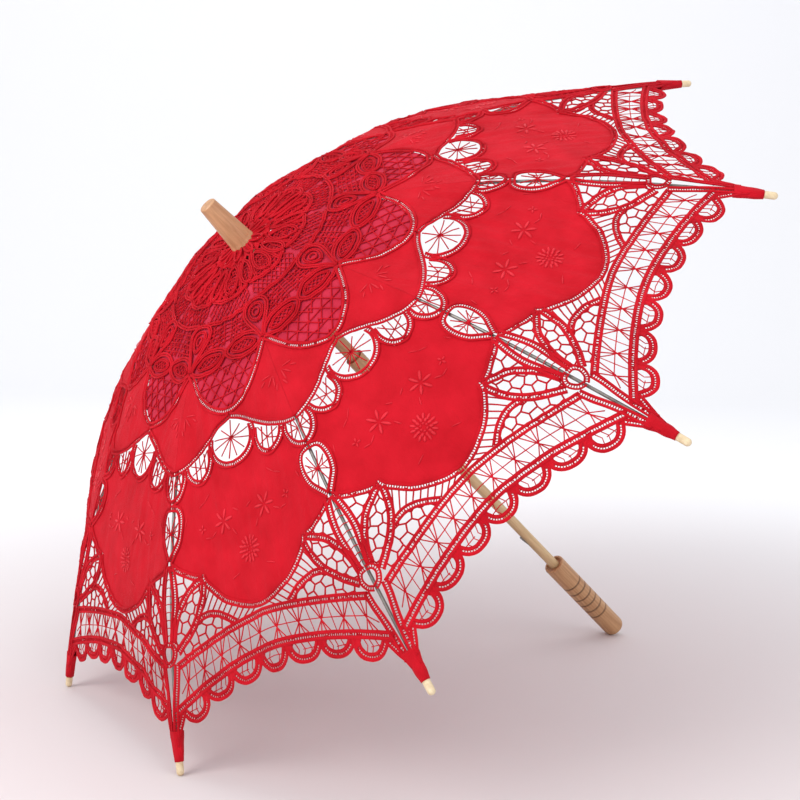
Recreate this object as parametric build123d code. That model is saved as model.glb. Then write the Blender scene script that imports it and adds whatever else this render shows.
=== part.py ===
from build123d import *
from math import asin, atan2, cos, degrees, hypot, radians, sin, tan
import os

os.makedirs("parts", exist_ok=True)

# A lace parasol standing open on the floor: it rests on two neighbouring rib tips and the
# end of its handle. Everything is first built round a straight shaft along Z, with the
# ring of rib tips at Z = 0 and the ferrule up, and is then laid down in one step.

# ---- driving dimensions, mm ----
rib_count = 10
open_radius = 400.0  # shaft axis to the end of a rib tip
dome_rise = 186.4  # rib hinges above the ring of tips
shoulder_radius = 178.0  # control point of the rib's bow, out from the shaft axis
shoulder_lift = 5.0  # the same, above the rib hinges
closed_tip_radius = 18.0  # shaft axis to the rib ends when folded

rib_radius = 1.3
tip_radius = 3.0
tip_length = 20.0
tip_socket_depth = 11.0
socket_clearance = 0.25
cloth_thickness = 1.2
cloth_clearance = 0.5  # cloth to whatever lies under or beside it

shaft_radius = 5.0
ferrule_base_radius = 11.2
ferrule_end_radius = 7.7
ferrule_length = 46.5
ferrule_socket_depth = 30.0
handle_radius = 10.9
handle_length = 119.0
handle_clearance = 30.512149  # lower catch's spring to the top of the handle
handle_socket_depth = 45.0
groove_count = 6
groove_radius = 1.1
groove_first = 0.27  # share of the handle's length from its top
groove_last = 0.69
handle_end_fillet = 6.0

stretcher_radius = 1.1
stretcher_at = 0.52  # where it meets the rib, along the bow's parameter
fork_length = 14.0
fork_plate = 0.9
lug_drop = 1.7  # the stretcher's pivot lies this far under the rib's centre line
lug_radius = 2.2
pin_radius = 0.8
pin_clearance = 0.15
eye_thickness = 1.6
eye_radius = 2.0
hub_wire_radius = 0.6

hub_wall = 1.1  # shaft to the floor of the slots
eye_clearance = 0.4  # floor of the slots to the rib's eye
crown_rim = 2.5  # rib hinges to the crown's rim
slot_width = 3.1
runner_bore_clearance = 0.35
runner_length = 60.0
runner_collar_wall = 2.5  # how far the collar stands out of the runner's tube
runner_collar_height = 12.0
catch_nose = 1.5  # how far a catch stands out of the shaft
catch_length = 24.0
catch_thickness = 1.2

rosette_radius = 27.0
gore_inner_radius = 25.0
edge_at_rib = 0.945  # share of the open radius where the cloth leaves the rib
edge_at_middle = 0.87  # the same in the middle of a gore, where the edge is drawn in
seam_clearance_deg = 0.75  # half the gap between the two halves of a gore

# ---- what follows from them ----
step = 360 / rib_count
half = radians(step / 2)
slot_floor_radius = shaft_radius + hub_wall
hinge_radius = slot_floor_radius + eye_radius + eye_clearance
crown_radius = hinge_radius + crown_rim
runner_collar_radius = slot_floor_radius + runner_collar_wall
bow = [
    (hinge_radius, dome_rise),
    (shoulder_radius, dome_rise + shoulder_lift),
    (open_radius, 0.0),
]
cloth_drop = cloth_thickness * 1.25  # vertical thickness of the sloping cloth
cloth_lift = cloth_drop + rib_radius + cloth_clearance * 1.2
runner_bore = shaft_radius + runner_bore_clearance


def on_bow(t, points=bow):
    (x0, z0), (x1, z1), (x2, z2) = points
    a, b, c = (1 - t) ** 2, 2 * t * (1 - t), t * t
    return a * x0 + b * x1 + c * x2, a * z0 + b * z1 + c * z2


def bow_direction(t):
    (x0, z0), (x1, z1), (x2, z2) = bow
    dx = (1 - t) * (x1 - x0) + t * (x2 - x1)
    dz = (1 - t) * (z1 - z0) + t * (z2 - z1)
    size = hypot(dx, dz)
    return dx / size, dz / size


def bow_part(t_end):
    """The bow's control points from the hinge as far as t_end."""
    (x0, z0), (x1, z1), _ = bow
    first = (x0 + t_end * (x1 - x0), z0 + t_end * (z1 - z0))
    return [bow[0], first, on_bow(t_end)]


# The linkage: the stretcher is as long as the rib is from its hinge to their joint, so the
# runner travels straight down the shaft.
joint_x = on_bow(stretcher_at)[0]
joint_z = on_bow(stretcher_at)[1] - lug_drop
arm = hypot(joint_x - hinge_radius, dome_rise - joint_z)
arm_open = atan2(joint_x - hinge_radius, dome_rise - joint_z)  # from straight down
rib_span = hypot(open_radius - hinge_radius, dome_rise)
rib_open = atan2(open_radius - hinge_radius, dome_rise)
rib_closed = asin((closed_tip_radius - hinge_radius) / rib_span)
fold_angle = rib_open - rib_closed
runner_open_z = dome_rise - 2 * arm * cos(arm_open)
runner_closed_z = dome_rise - 2 * arm * cos(arm_open - fold_angle)
runner_travel = runner_open_z - runner_closed_z
upper_catch_z = runner_open_z - runner_length - 1.0
lower_catch_z = runner_closed_z - runner_length + runner_collar_height * 2
handle_top_z = lower_catch_z - catch_length - handle_clearance

# The resting tilt: the lower tips and the handle's rounded end touch the same floor.
handle_end_z = handle_top_z - handle_length
tip_dx, tip_dz = bow_direction(1.0)
tip_ball = ((open_radius - tip_radius * tip_dx) * cos(half), -tip_radius * tip_dz)
heel = (handle_radius - handle_end_fillet, handle_end_z + handle_end_fillet)
reach, drop = tip_ball[0] - heel[0], tip_ball[1] - heel[1]
tilt = atan2(reach, drop) - asin((handle_end_fillet - tip_radius) / hypot(reach, drop))
resting = Plane(
    origin=(0, 0, 0),
    x_dir=(-sin(tilt), 0, -cos(tilt)),
    z_dir=(-cos(tilt), 0, sin(tilt)),
)


def around(shape, k):
    """The shape made at azimuth 0, turned to the k-th rib."""
    return Rot(0, 0, step * (k + 0.5)) * shape


def cross_pin(x, z, radius, thickness):
    """A cylinder along Y, centred on the radial plane."""
    return Pos(x, 0, z) * Rot(90, 0, 0) * Cylinder(radius, thickness)


def rod_between(a, b, radius):
    """A round rod in the radial plane from a to b, each (x, z)."""
    length = hypot(b[0] - a[0], b[1] - a[1])
    angle = degrees(atan2(b[0] - a[0], b[1] - a[1]))
    rod = Pos(0, 0, length / 2) * Cylinder(radius, length)
    return Pos(a[0], 0, a[1]) * Rot(0, angle, 0) * rod


def slots(z_low, z_high):
    """One radial slot per rib, open outwards, as a single cutter."""
    depth = crown_radius * 1.5 - slot_floor_radius
    box = Box(depth, slot_width, z_high - z_low)
    one = Pos(slot_floor_radius + depth / 2, 0, (z_low + z_high) / 2) * box
    return Compound([around(one, k) for k in range(rib_count)])


# ---- shaft, handle and ferrule ----
rosette_low_z = dome_rise + cloth_lift + cloth_clearance
rosette_high_z = rosette_low_z + cloth_thickness
ferrule_base_z = rosette_high_z + 0.1
shaft_top_z = ferrule_base_z + ferrule_socket_depth
shaft_low_z = handle_top_z - handle_socket_depth


def catch_heights():
    """The top of each catch's nose: under the open runner, and inside the folded one."""
    return [upper_catch_z, lower_catch_z]


def make_shaft():
    length = shaft_top_z - shaft_low_z
    rod = Pos(0, 0, shaft_low_z + length / 2) * Cylinder(shaft_radius, length)
    rod = chamfer(rod.edges().filter_by(GeomType.CIRCLE), 0.6)
    for z in catch_heights():
        rod -= Pos(shaft_radius, 0, z - catch_length / 2) * Box(
            5.0, catch_thickness + 0.6, catch_length + 1.0
        )
    return rod - cross_pin(0, stop_z, pin_radius, 4 * shaft_radius)


def make_catches():
    """Two bent leaf springs, each with a ramped nose that faces the runner."""
    outlines = []
    for z in catch_heights():
        low = z - catch_length
        x_in, x_out = shaft_radius - 2.2, shaft_radius + catch_nose
        points = [
            (x_in, 0, low),
            (x_in + 0.9, 0, low),
            (x_out, 0, z - 4.0),
            (x_out, 0, z),
            (x_in, 0, z),
        ]
        face = make_face(Polyline(*points, close=True))
        leaf = extrude(face, catch_thickness / 2, dir=(0, 1, 0), both=True)
        outlines.append(leaf)
    return Compound(outlines)


def make_stop_pin():
    return cross_pin(0, stop_z, pin_radius - 0.02, 2 * shaft_radius + 4.0)


def make_handle():
    """A turned grip: plain above, six grooves, plain below and a rounded end."""
    length = handle_length
    grip = Pos(0, 0, handle_top_z - length / 2) * Cylinder(handle_radius, length)
    rims = grip.edges().filter_by(GeomType.CIRCLE).sort_by(Axis.Z)
    grip = fillet(rims[0], handle_end_fillet)
    grip = fillet(grip.edges().filter_by(GeomType.CIRCLE).sort_by(Axis.Z)[-1], 1.2)
    grip -= Pos(0, 0, handle_top_z - 1.0) * Cylinder(handle_radius - 2.6, 2.0)
    bore = handle_socket_depth + 0.5
    grip -= Pos(0, 0, handle_top_z - bore / 2) * Cylinder(shaft_radius, bore)
    for i in range(groove_count):
        share = groove_first + (groove_last - groove_first) * i / (groove_count - 1)
        ring = Torus(handle_radius + 0.25, groove_radius)
        grip -= Pos(0, 0, handle_top_z - share * length) * ring
    return grip


def make_ferrule():
    """A tapered wooden cap with a small flare at its base and a flat end."""
    base, end = ferrule_base_z, ferrule_base_z + ferrule_length
    flare = 0.6
    outline = Polyline(
        (0, 0, base),
        (ferrule_base_radius + flare, 0, base),
        (ferrule_base_radius + flare, 0, base + 1.5),
        (ferrule_base_radius, 0, base + 5.0),
        (ferrule_end_radius, 0, end),
        (0, 0, end),
        close=True,
    )
    cap = revolve(make_face(outline), Axis.Z)
    cap = chamfer(cap.edges().filter_by(GeomType.CIRCLE).sort_by(Axis.Z)[-1], 0.8)
    depth = ferrule_socket_depth + 0.3
    return cap - Pos(0, 0, base + depth / 2) * Cylinder(shaft_radius, depth)


# ---- crown, runner and their wires ----
crown_top_z = rosette_low_z - 0.3
crown_low_z = dome_rise - 5.5
stop_z = runner_open_z + 6.0 + 2.0


def make_crown():
    """The notched hub that the ribs hinge in, fixed to the shaft."""
    height = crown_top_z - crown_low_z
    hub = Pos(0, 0, crown_low_z + height / 2) * Cylinder(crown_radius, height)
    hub += Pos(0, 0, crown_low_z - 6) * Cylinder(slot_floor_radius + 1.2, 12)
    hub -= Cylinder(shaft_radius, 4 * dome_rise)
    hub -= slots(crown_low_z - 0.1, dome_rise + rib_radius + 1.2)
    groove = hub_wire_radius + pin_clearance
    return hub - Pos(0, 0, dome_rise) * Torus(hinge_radius, groove)


def make_runner():
    """A slit tube with a castellated head for the stretchers and a collar to grip."""
    top, low = runner_open_z + 6.0, runner_open_z - runner_length
    body = Pos(0, 0, (top + low) / 2) * Cylinder(slot_floor_radius, top - low)
    head = Cylinder(crown_radius, 10.0)
    body += Pos(0, 0, runner_open_z) * head
    collar = Cylinder(runner_collar_radius, runner_collar_height)
    body += Pos(0, 0, low + runner_collar_height / 2) * collar
    body -= Pos(0, 0, (top + low) / 2) * Cylinder(runner_bore, 2 * runner_length)
    body -= slots(runner_open_z - 2.3, runner_open_z + 5.1)
    keyway = shaft_radius + catch_nose + 0.5
    slit = Box(keyway, catch_thickness + 1.4, 2 * runner_length)
    body -= Pos(keyway / 2, 0, runner_open_z - runner_length / 2) * slit
    groove = hub_wire_radius + 0.02
    return body - Pos(0, 0, runner_open_z) * Torus(hinge_radius, groove)


def make_runner_wire():
    """The stretchers' wire as it shows in the runner's teeth, left out in the slots."""
    ring = Pos(0, 0, runner_open_z) * Torus(hinge_radius, hub_wire_radius)
    return ring - slots(runner_open_z - 5, runner_open_z + 5)


def make_rosette():
    """The gathered lace round the shaft, over the inner ends of the gores."""
    disc = Cylinder(rosette_radius, cloth_thickness) - Cylinder(
        shaft_radius + 0.1, cloth_thickness
    )
    return Pos(0, 0, rosette_low_z + cloth_thickness / 2) * disc


# ---- ribs, tips and stretchers, each made at azimuth 0 ----
def bow_at_distance(distance):
    """The bow's parameter that lies this far back from its outer end."""
    (x1, z1), (x2, z2) = bow[1], bow[2]
    return 1.0 - distance / (2 * hypot(x2 - x1, z2 - z1))


def make_rib():
    rib_end = bow_at_distance(tip_length - tip_socket_depth)
    path = Bezier(*[(x, 0, z) for x, z in bow_part(rib_end)])
    wire = sweep(Plane(path @ 0, z_dir=path % 0) * Circle(rib_radius), path=path)
    wire += cross_pin(hinge_radius, dome_rise, eye_radius, eye_thickness)
    hole = hub_wire_radius + pin_clearance
    wire -= cross_pin(hinge_radius, dome_rise, hole, 10)
    wire += cross_pin(joint_x, joint_z, lug_radius, 2 * rib_radius)
    return wire - cross_pin(joint_x, joint_z, pin_radius + pin_clearance, 10)


def make_tip():
    """A short wooden peg with a rounded end, drilled for the rib."""
    outer = (open_radius, 0.0)
    inner = (outer[0] - tip_length * tip_dx, outer[1] - tip_length * tip_dz)
    ball = (outer[0] - tip_radius * tip_dx, outer[1] - tip_radius * tip_dz)
    peg = rod_between(inner, ball, tip_radius) + Pos(ball[0], 0, ball[1]) * Sphere(
        tip_radius
    )
    end = on_bow(bow_at_distance(tip_length - tip_socket_depth))
    bottom = (end[0] + 0.3 * tip_dx, end[1] + 0.3 * tip_dz)
    mouth = (inner[0] - tip_dx, inner[1] - tip_dz)
    return peg - rod_between(mouth, bottom, rib_radius + socket_clearance)


def make_stretcher():
    """A rod with a fork round the rib and a flat tongue that reaches the runner."""
    joint, foot = (joint_x, joint_z), (hinge_radius, runner_open_z)
    ux, uz = (foot[0] - joint[0]) / arm, (foot[1] - joint[1]) / arm
    start = (joint[0] + fork_length * ux, joint[1] + fork_length * uz)
    shape = rod_between(start, foot, stretcher_radius)
    inside = rib_radius + 0.25
    outside = 2 * (inside + fork_plate)
    angle = -degrees(atan2(uz, ux))
    plates = Pos(fork_length / 2 + 1, 0, 0) * Box(fork_length + 2, outside, 2.6)
    plates += Rot(90, 0, 0) * Cylinder(lug_radius, outside)
    cut = Pos(fork_length / 2 - 4, 0, 0) * Box(fork_length + 4, 2 * inside, 8)
    fork = plates - cut
    shape += Pos(joint[0], 0, joint[1]) * Rot(0, angle, 0) * fork
    shape += cross_pin(joint_x, joint_z, pin_radius, outside)
    tongue = cross_pin(*foot, 1.8, eye_thickness)
    return shape + tongue


# ---- canopy ----
def make_half_gore():
    """From the middle of a gore to its rib, made with the gore's middle along X.

    The cloth is pulled straight from rib to rib, so a gore is the rib's bow, seen in the
    gore's middle plane, drawn out sideways. Its outer edge is an arc drawn in between
    the tips.
    """
    shrink = cos(half)
    top = [(x * shrink, 0, z + cloth_lift) for x, z in bow]
    under = [(x, 0, z - cloth_drop) for x, _, z in top]
    outline = [
        Bezier(*top),
        Line(top[2], under[2]),
        Bezier(*reversed(under)),
        Line(under[0], top[0]),
    ]
    sheet = extrude(make_face(outline), open_radius, dir=(0, 1, 0))
    mid_x = edge_at_middle * open_radius * shrink
    rib_x = edge_at_rib * open_radius * shrink
    rib_y = rib_x * tan(half)
    centre = (rib_x**2 + rib_y**2 - mid_x**2) / (2 * (rib_x - mid_x))
    side = cloth_clearance / cos(half)
    gap = radians(seam_clearance_deg)
    far = rib_x
    wedge = Polyline(
        (gore_inner_radius * 0.8, gore_inner_radius * 0.8 * tan(gap)),
        (far, far * tan(gap)),
        (far, far * tan(half) - side),
        (gore_inner_radius * 0.8, gore_inner_radius * 0.8 * tan(half) - side),
        close=True,
    )
    plan = make_face(wedge) - Circle(gore_inner_radius)
    plan -= Pos(centre, 0) * Circle(centre - mid_x)
    return sheet & extrude(plan, 2 * dome_rise)


def named_parts():
    shapes = {
        "shaft": make_shaft(),
        "handle": make_handle(),
        "ferrule": make_ferrule(),
        "spring_catches": make_catches(),
        "stop_pin": make_stop_pin(),
        "crown": make_crown(),
        "crown_wire": Pos(0, 0, dome_rise) * Torus(hinge_radius, hub_wire_radius),
        "rosette": make_rosette(),
        "runner": make_runner(),
        "runner_wire": make_runner_wire(),
    }
    rib, tip, stretcher, left = make_rib(), make_tip(), make_stretcher(), make_half_gore()
    right = mirror(left, Plane.XZ)
    for k in range(rib_count):
        number = f"{k + 1:02d}"
        shapes[f"rib_{number}"] = around(rib, k)
        shapes[f"tip_{number}"] = around(tip, k)
        shapes[f"stretcher_{number}"] = around(stretcher, k)
        shapes[f"canopy_{number}_a"] = around(Rot(0, 0, -step / 2) * left, k)
        shapes[f"canopy_{number}_b"] = around(Rot(0, 0, step / 2) * right, k)
    return shapes


shapes = named_parts()
placed = {name: resting.location * shape for name, shape in shapes.items()}
box = Compound(list(placed.values())).bounding_box()
centre_x, centre_y = (box.min.X + box.max.X) / 2, (box.min.Y + box.max.Y) / 2
to_floor = Pos(-centre_x, -centre_y, -box.min.Z)
for name, shape in placed.items():
    export_step(to_floor * shape, f"parts/{name}.step")
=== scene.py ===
import math
from functools import partial

import bpy
import numpy as np
from mathutils import Matrix, Vector, noise
from mathutils.geometry import delaunay_2d_cdt


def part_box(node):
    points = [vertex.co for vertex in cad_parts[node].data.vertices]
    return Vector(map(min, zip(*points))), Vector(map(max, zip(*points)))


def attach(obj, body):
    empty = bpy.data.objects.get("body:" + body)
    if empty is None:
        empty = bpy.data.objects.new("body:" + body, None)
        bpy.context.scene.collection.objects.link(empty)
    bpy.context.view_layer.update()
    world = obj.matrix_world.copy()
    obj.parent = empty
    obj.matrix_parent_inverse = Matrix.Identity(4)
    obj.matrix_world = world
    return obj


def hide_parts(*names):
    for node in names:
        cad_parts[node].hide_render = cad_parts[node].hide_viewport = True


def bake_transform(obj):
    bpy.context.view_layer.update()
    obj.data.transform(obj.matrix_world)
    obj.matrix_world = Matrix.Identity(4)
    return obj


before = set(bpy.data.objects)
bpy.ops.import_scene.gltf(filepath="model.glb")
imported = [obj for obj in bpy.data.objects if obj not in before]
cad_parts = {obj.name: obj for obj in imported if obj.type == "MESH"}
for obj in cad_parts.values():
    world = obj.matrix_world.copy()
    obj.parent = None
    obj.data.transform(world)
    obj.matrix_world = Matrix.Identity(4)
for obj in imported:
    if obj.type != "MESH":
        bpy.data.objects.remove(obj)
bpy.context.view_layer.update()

# A lace parasol that stands open on the floor. Its wooden and steel parts come from the CAD
# frame. The canopy is Battenberg lace: solid cloth panels, woven tape with a drawn middle
# row, and needle-made threads. One half gore is laid out flat, in millimetres, with x
# outward along the gore and y from its middle to its rib, and is then put on every rib.

# ---- the frame's own axes ----
MM = 0.001
RIBS = 10
HALF = math.radians(180 / RIBS)
# the rib's bow, as three control points: distance from the shaft, and height over the ring of tips
BOW = ((8.5, 186.4), (178.0, 191.4), (400.0, 0.0))
CLOTH_RISE = 1.9  # the cloth over the middle of the rib's wire


def centre(node):
    low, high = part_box(node)
    return (np.array(low) + np.array(high)) / 2


HUB = centre("crown_wire")
UP = HUB - centre("runner_wire")
UP /= np.linalg.norm(UP)
SIDE = np.array((0.0, -1.0, 0.0))
OUT = np.cross(SIDE, UP)
RING = HUB - UP * BOW[0][1] * MM


def at(x, y, z):
    """Points given round the shaft, in mm, as points of the frame, in metres."""
    place = np.multiply.outer(x, OUT) + np.multiply.outer(y, SIDE) + np.multiply.outer(z, UP)
    return RING + MM * place


def turned(r, across, z, turn):
    """Points out along a spoke at this turn round the shaft, and across from it."""
    return at(r * math.cos(turn) - across * math.sin(turn), r * math.sin(turn) + across * math.cos(turn), z)


# ---- the gore's curve: the rib's bow seen in the middle of a gore ----
_t = np.linspace(0, 1, 900)[:, None]
_bow = (1 - _t) ** 2 * BOW[0] + 2 * _t * (1 - _t) * np.array(BOW[1]) + _t**2 * BOW[2]
RIB_R, RIB_Z = _bow[:, 0], _bow[:, 1]
GORE_R = RIB_R * math.cos(HALF)
GORE_Z = RIB_Z + CLOTH_RISE
GORE_S = np.concatenate([[0], np.cumsum(np.hypot(np.diff(GORE_R), np.diff(GORE_Z)))])
SLOPE_R = np.gradient(GORE_R, GORE_S)
SLOPE_Z = np.gradient(GORE_Z, GORE_S)

HELD_BESIDE_RIB = 16.0  # mm over which the ripples die away towards a rib
GATHER_REACH = 125.0  # mm from the hub within which the cloth is drawn into small folds
# the ripples: height in mm, closeness along and across, step and start in the noise, only near the hub
RIPPLES = (
    (2.2, 0.017, 0.032, 5.3, 0, False),
    (0.9, 0.045, 0.12, 2.9, 40, False),
    (2.6, 0.16, 0.16, 1.7, 80, True),
    (0.75, 0.02, 0.22, 3.1, 7, False),
)


def width(s):
    """Half the gore's width at a distance s from its inner end."""
    return np.interp(s, GORE_S, GORE_R) * math.tan(HALF)


def soft(x):
    x = np.clip(x, 0, 1)
    return x * x * (3 - 2 * x)


def ripple(s, y, gore):
    """How far the cloth stands off its smooth surface, nothing at the ribs."""
    beside = width(s) - np.abs(y)
    out = np.zeros(len(s))
    for i in range(len(s)):
        gather = max(0.0, 1.0 - s[i] / GATHER_REACH)
        for high, along, over, step, start, gathered in RIPPLES:
            fold = noise.noise(Vector((s[i] * along, y[i] * over, gore * step + start)))
            out[i] += high * (gather if gathered else 1.0) * fold
    return out * soft(beside / HELD_BESIDE_RIB)


def on_gore(points, rib, side):
    """Puts flat points (s, y, lift) on the half gore at this side of a rib."""
    s, y, lift = points[:, 0], points[:, 1], points[:, 2]
    sign = 1.0 if side == "a" else -1.0
    gore = rib if side == "b" else rib - 1
    gore %= RIBS
    turn = (rib + 0.5) * 2 * HALF - sign * HALF
    lift = lift + ripple(s, sign * y, gore)
    r = np.interp(s, GORE_S, GORE_R)
    z = np.interp(s, GORE_S, GORE_Z)
    dr, dz = np.interp(s, GORE_S, SLOPE_R), np.interp(s, GORE_S, SLOPE_Z)
    return turned(r - dz * lift, sign * y, z + dr * lift, turn)


def on_rib(points, rib):
    """Puts (s, across, up) on a rib, with s as the gore's own length."""
    s, y, lift = points[:, 0], points[:, 1], points[:, 2]
    r, z = np.interp(s, GORE_S, RIB_R), np.interp(s, GORE_S, RIB_Z)
    dr = np.interp(s, GORE_S, np.gradient(RIB_R, GORE_S))
    dz = np.interp(s, GORE_S, np.gradient(RIB_Z, GORE_S))
    size = np.hypot(dr, dz)
    return turned(r - dz / size * lift, y, z + dr / size * lift, (rib + 0.5) * 2 * HALF)


# ---- flat work: points, faces, pattern coordinates ----
class Work:
    def __init__(self):
        self.points, self.faces, self.pattern = [], [], []

    def add(self, points, faces, pattern=None):
        start = len(self.points)
        self.points += [tuple(map(float, p)) for p in points]
        self.pattern += [(p[0], p[1]) for p in (points if pattern is None else pattern)]
        self.faces += [tuple(int(i) + start for i in f) for f in faces]


def curve(points, step=2.0, closed=False):
    """A smooth line through flat points, in even steps."""
    p = np.array(points, float)
    if closed:
        p = np.vstack([p[-1], p, p[0], p[1]])
    else:
        p = np.vstack([2 * p[0] - p[1], p, 2 * p[-1] - p[-2]])
    u = np.linspace(0, 1, 14, endpoint=False)[:, None]
    runs = [
        0.5 * (2 * b + (c - a) * u + (2 * a - 5 * b + 4 * c - d) * u**2 + (3 * b - a - 3 * c + d) * u**3)
        for a, b, c, d in zip(p, p[1:], p[2:], p[3:])
    ]
    fine = np.vstack(runs + [p[-2][None]])
    return evenly(fine, step)


def evenly(line, step):
    along = np.concatenate([[0], np.cumsum(np.linalg.norm(np.diff(line, axis=0), axis=1))])
    count = max(2, int(round(along[-1] / step)) + 1)
    want = np.linspace(0, along[-1], count)
    return np.stack([np.interp(want, along, line[:, i]) for i in (0, 1)], 1)


def sideways(line):
    d = np.gradient(line, axis=0)
    d /= np.maximum(np.linalg.norm(d, axis=1), 1e-9)[:, None]
    return np.stack([-d[:, 1], d[:, 0]], 1)


def circle(m):
    """The corners of an even m-sided ring of radius one."""
    return [(math.cos(2 * math.pi * j / m), math.sin(2 * math.pi * j / m)) for j in range(m)]


def ribbon(work, line, wide, thick, lift=0.0, offset=0.0):
    """A flat cord along a line: six-sided, rounded over its top."""
    n = sideways(line)
    ring = ((-0.5, 0), (-0.28, 0.5), (0.28, 0.5), (0.5, 0), (0.28, -0.4), (-0.28, -0.4))
    count, m = len(line), len(ring)
    points, pattern = [], []
    for i in range(count):
        for a, h in ring:
            off = offset + a * wide
            points.append((*(line[i] + n[i] * off), lift + h * thick))
            pattern.append((i * 2.0, off))
    faces = [
        (i * m + j, (i + 1) * m + j, (i + 1) * m + (j + 1) % m, i * m + (j + 1) % m)
        for i in range(count - 1)
        for j in range(m)
    ]
    faces += [tuple(range(m)), tuple((count - 1) * m + j for j in reversed(range(m)))]
    work.add(points, faces, pattern)


def bars(work, line, reach, thick, lift, offset=0.0, wide=0.75):
    """Short stitches across a tape's open row, one at every step of the line."""
    n = sideways(line)
    for i in range(len(line) - 1):
        mid = (line[i] + line[i + 1]) / 2
        along = (line[i + 1] - line[i]) / max(np.linalg.norm(line[i + 1] - line[i]), 1e-9)
        points = []
        for end in (-1, 1):
            c = mid + n[i] * (offset + end * reach / 2)
            for a, h in ((-1, -1), (1, -1), (1, 1), (-1, 1)):
                points.append((*(c + along * a * wide / 2), lift + h * thick / 2))
        faces = [(0, 1, 5, 4), (1, 2, 6, 5), (2, 3, 7, 6), (3, 0, 4, 7), (3, 2, 1, 0), (4, 5, 6, 7)]
        work.add(points, faces)


TAPE = 5.4  # mm, the woven tape's width
GAP = 1.5  # its open middle row


def tape(work, points, wide=TAPE, lift=1.2, closed=False, gap=GAP, smooth=True):
    line = curve(points, 2.0, closed) if smooth else np.array(points, float)
    edge = (wide - gap) / 2
    for hand in (-1, 1):
        ribbon(work, line, edge, 1.5, lift, hand * (gap + edge) / 2)
        ribbon(work, line, 0.8, 1.1, lift + 0.35, hand * (wide / 2 - 0.35))
    bars(work, line, gap + 0.8, 0.7, lift - 0.1)
    return line


def thread(work, points, radius=0.62, lift=0.9, step=6.0):
    """A round needle-made thread through flat points."""
    p = np.array(points, float)
    fine = [p[:1]]
    for a, b in zip(p, p[1:]):
        count = max(1, int(math.ceil(np.linalg.norm(b - a) / step)))
        fine.append(a + (b - a) * (np.arange(1, count + 1) / count)[:, None])
    line = np.vstack(fine)
    n = sideways(line)
    m = 5
    points = [
        (*(line[i] + n[i] * a * radius), lift + b * radius) for i in range(len(line)) for a, b in circle(m)
    ]
    faces = [
        (i * m + j, i * m + (j + 1) % m, (i + 1) * m + (j + 1) % m, (i + 1) * m + j)
        for i in range(len(line) - 1)
        for j in range(m)
    ]
    faces += [tuple(reversed(range(m))), tuple((len(line) - 1) * m + j for j in range(m))]
    faces = [tuple(reversed(f)) for f in faces]
    work.add(points, faces)


def inside(points, outline):
    """Which flat points lie within a closed outline."""
    x, y = np.atleast_2d(points)[:, 0], np.atleast_2d(points)[:, 1]
    a, b = np.array(outline, float), np.roll(np.array(outline, float), -1, axis=0)
    hit = np.zeros(len(x), bool)
    for (x0, y0), (x1, y1) in zip(a, b):
        crosses = (y0 > y) != (y1 > y)
        with np.errstate(divide="ignore", invalid="ignore"):
            where = x0 + (y - y0) / (y1 - y0) * (x1 - x0)
        hit ^= crosses & (x < where)
    return hit


def within(work, outline, a, b, radius=0.5, lift=0.9):
    """The parts of a straight thread that lie within an outline."""
    a, b = np.array(a, float), np.array(b, float)
    count = max(8, int(np.linalg.norm(b - a) / 0.8))
    share = np.linspace(0, 1, count)
    keep = inside(a + (b - a) * share[:, None], outline)
    start = None
    for i in range(count + 1):
        on = i < count and keep[i]
        if on and start is None:
            start = max(i - 1, 0)
        if not on and start is not None:
            end = min(i, count - 1)
            if end - start > 2:
                ends = [a + (b - a) * share[start], a + (b - a) * share[end]]
                thread(work, ends, radius, lift)
            start = None


def area_of(outline):
    p = np.array(outline, float)
    q = np.roll(p, -1, axis=0)
    return abs(np.sum(p[:, 0] * q[:, 1] - q[:, 0] * p[:, 1])) / 2


def cloth(work, outline, cell=3.2, thick=0.5, lift=0.55):
    """A thin closed panel of cloth over a flat outline."""
    edge = np.array(outline, float)
    low, high = edge.min(0), edge.max(0)
    rows = np.arange(low[0], high[0], cell * 0.866)
    grid = [
        (x, y + (i % 2) * cell / 2) for i, x in enumerate(rows) for y in np.arange(low[1], high[1], cell)
    ]
    grid = np.array(grid) + 0.001
    grid = grid[inside(grid, edge)]
    gap = np.linalg.norm(grid[:, None] - edge[None], axis=2).min(1)
    grid = grid[gap > cell * 0.45]
    points = [Vector(p) for p in np.vstack([edge, grid])]
    ring = list(range(len(edge)))
    flat, _, faces, *_ = delaunay_2d_cdt(points, [], [ring], 1, 1e-5)
    n = len(flat)
    top = [(p.x, p.y, lift + thick / 2) for p in flat]
    under = [(p.x, p.y, lift - thick / 2) for p in flat]
    up = []
    for f in faces:
        a, b, c = (flat[i] for i in f[:3])
        turn = (b.x - a.x) * (c.y - a.y) - (b.y - a.y) * (c.x - a.x)
        up.append(tuple(f) if turn > 0 else tuple(reversed(f)))
    sides = dict.fromkeys((a, b) for f in up for a, b in zip(f, f[1:] + f[:1]))
    walls = [(b, b + n, a + n, a) for a, b in sides if (b, a) not in sides]
    down = [tuple(reversed([i + n for i in f])) for f in up]
    work.add(top + under, up + down + walls)
    return area_of(outline)


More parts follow.
